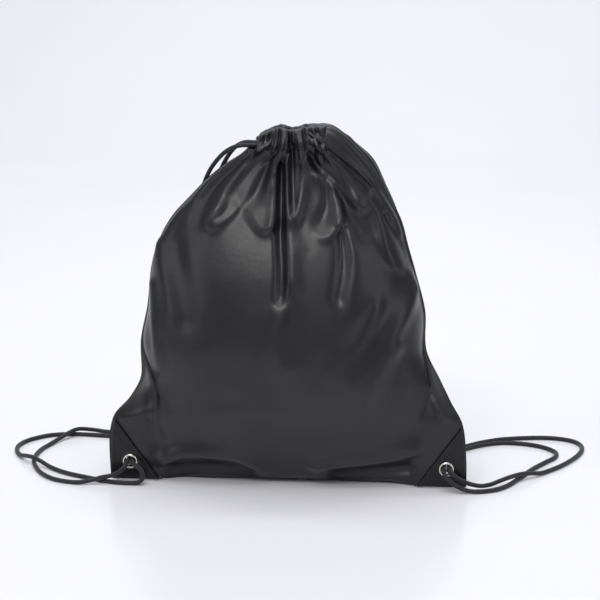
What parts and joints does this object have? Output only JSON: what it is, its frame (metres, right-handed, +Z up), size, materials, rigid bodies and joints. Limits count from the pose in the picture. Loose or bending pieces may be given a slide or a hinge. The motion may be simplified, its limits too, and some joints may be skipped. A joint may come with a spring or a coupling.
{
  "type": "drawstring backpack",
  "caption": "Stuffed drawstring backpack with a gathered neck, corner patches, eyelets and cord straps knotted behind them.",
  "frame": {"origin": "on the floor, under the middle of the bag without its straps", "axes": "+Z up, +X towards the bag's right eyelet seen from the front, -Y towards the front"},
  "size_m": [0.5664, 0.1799, 0.3304],
  "materials": {
    "fabric": "glossy black coated polyester, fine plain weave",
    "patch": "black leatherette, satin, topstitched",
    "eyelet": "polished nickel plate",
    "cord": "matt black braided polyester cord"
  },
  "bodies": {
    "bag": {"front_panel": "fabric", "back_panel": "fabric", "front_channel": "fabric", "back_channel": "fabric", "left_patch_front": "patch", "left_patch_rear": "patch", "right_patch_front": "patch", "right_patch_rear": "patch", "left_eyelet": "eyelet", "left_eyelet_washer": "eyelet", "right_eyelet": "eyelet", "right_eyelet_washer": "eyelet", "left_knot": "cord", "right_knot": "cord", "left_strap_inner": "cord", "left_strap_outer": "cord", "right_strap_outer": "cord", "right_strap_inner": "cord"},
    "left_drawcord": {"left_drawcord": "cord"},
    "right_drawcord": {"right_drawcord": "cord"}
  },
  "joints": [
    {"name": "left_drawcord_pull", "type": "slide", "parent": "bag", "child": "left_drawcord", "axis": [-1, 0, 0], "range_m": [-0.004, 0.005], "deforming": ["left_strap_inner", "left_strap_outer"]},
    {"name": "right_drawcord_pull", "type": "slide", "parent": "bag", "child": "right_drawcord", "axis": [1, 0, 0], "range_m": [-0.004, 0.005], "deforming": ["right_strap_outer", "right_strap_inner"]}
  ]
}
